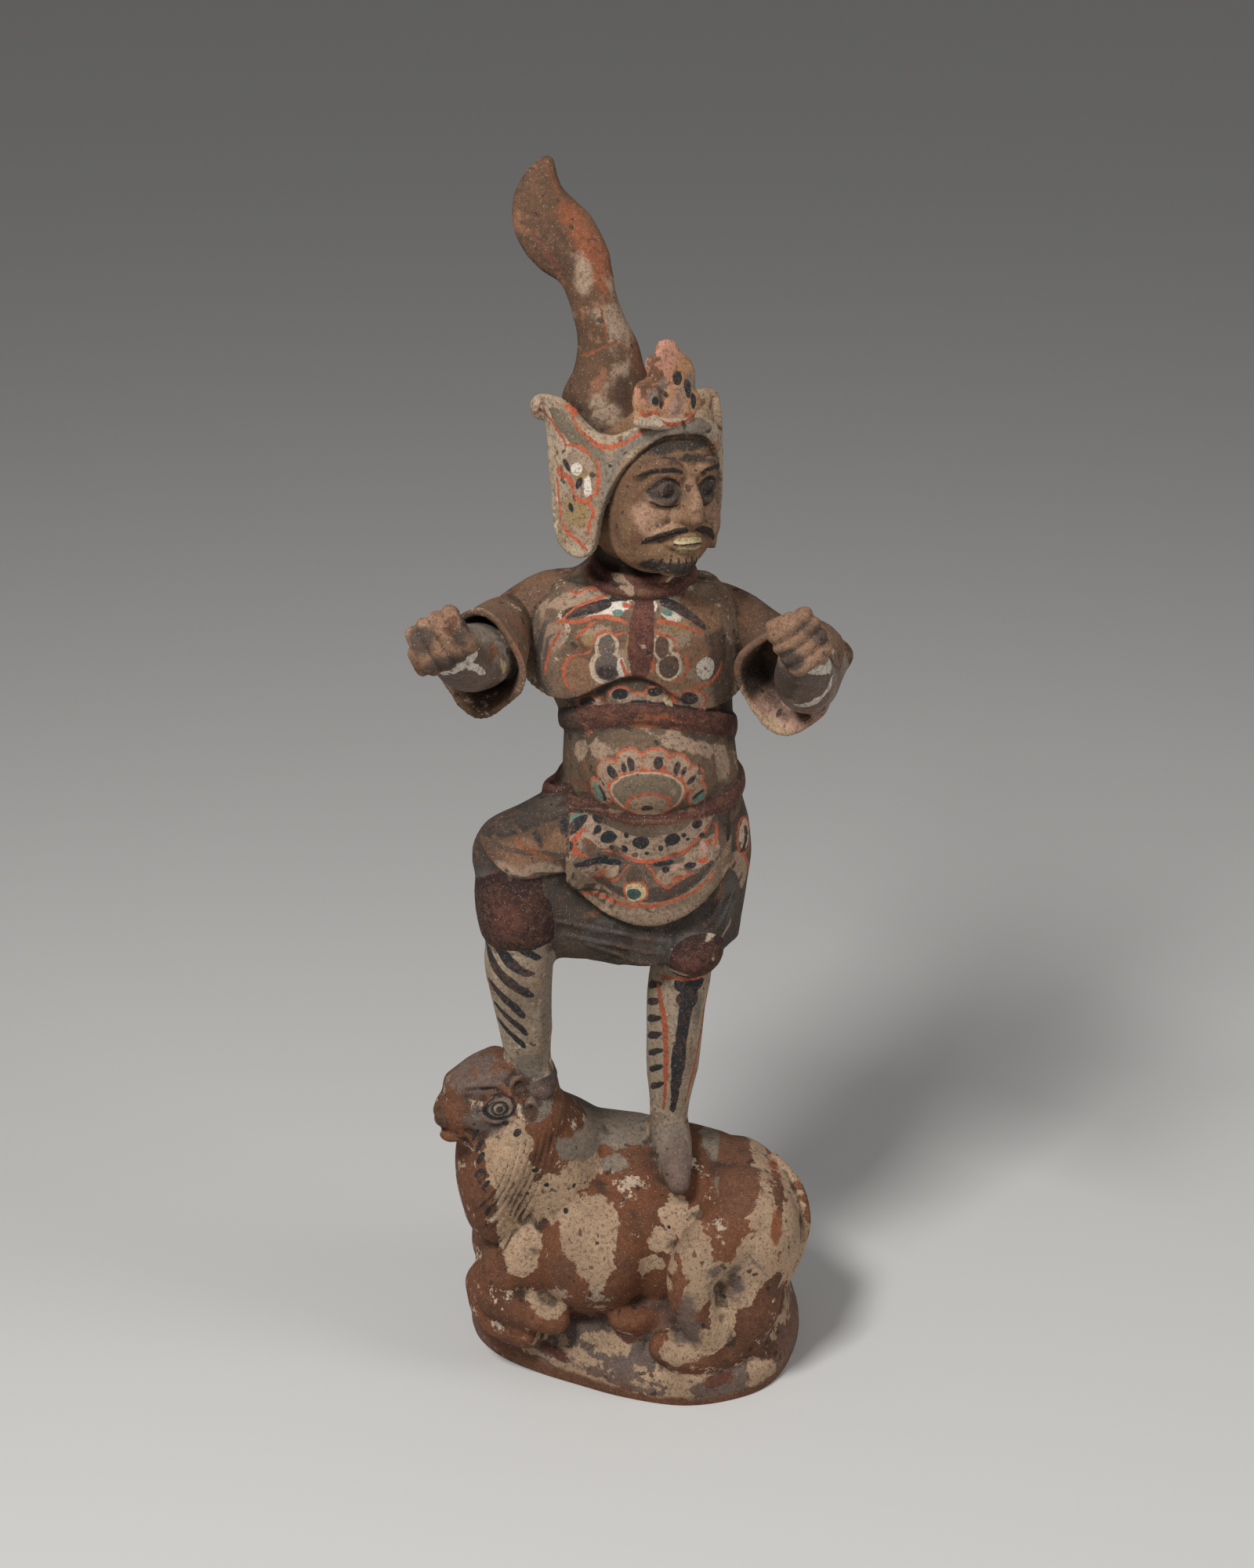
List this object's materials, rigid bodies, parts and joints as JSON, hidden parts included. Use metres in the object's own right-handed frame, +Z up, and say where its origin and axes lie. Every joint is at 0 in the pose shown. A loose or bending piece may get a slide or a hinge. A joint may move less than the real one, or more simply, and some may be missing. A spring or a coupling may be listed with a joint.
{
  "type": "tomb guardian figure",
  "caption": "Painted earthenware tomb guardian in armour and a plumed helmet, fists raised, standing on a recumbent bull over a low rocky base.",
  "frame": {"origin": "middle of the base's underside, on the ground", "axes": "+X along the bull towards its rump, +Y behind the figure, +Z up"},
  "size_m": [0.2407, 0.1832, 0.72],
  "materials": {
    "painted_earthenware": "unglazed fired earthenware, matt, with a cream ground and worn red, blue-black and maroon paint that flakes off to the red clay"
  },
  "bodies": {
    "root": {"tomb_guardian": "painted_earthenware"}
  },
  "joints": []
}
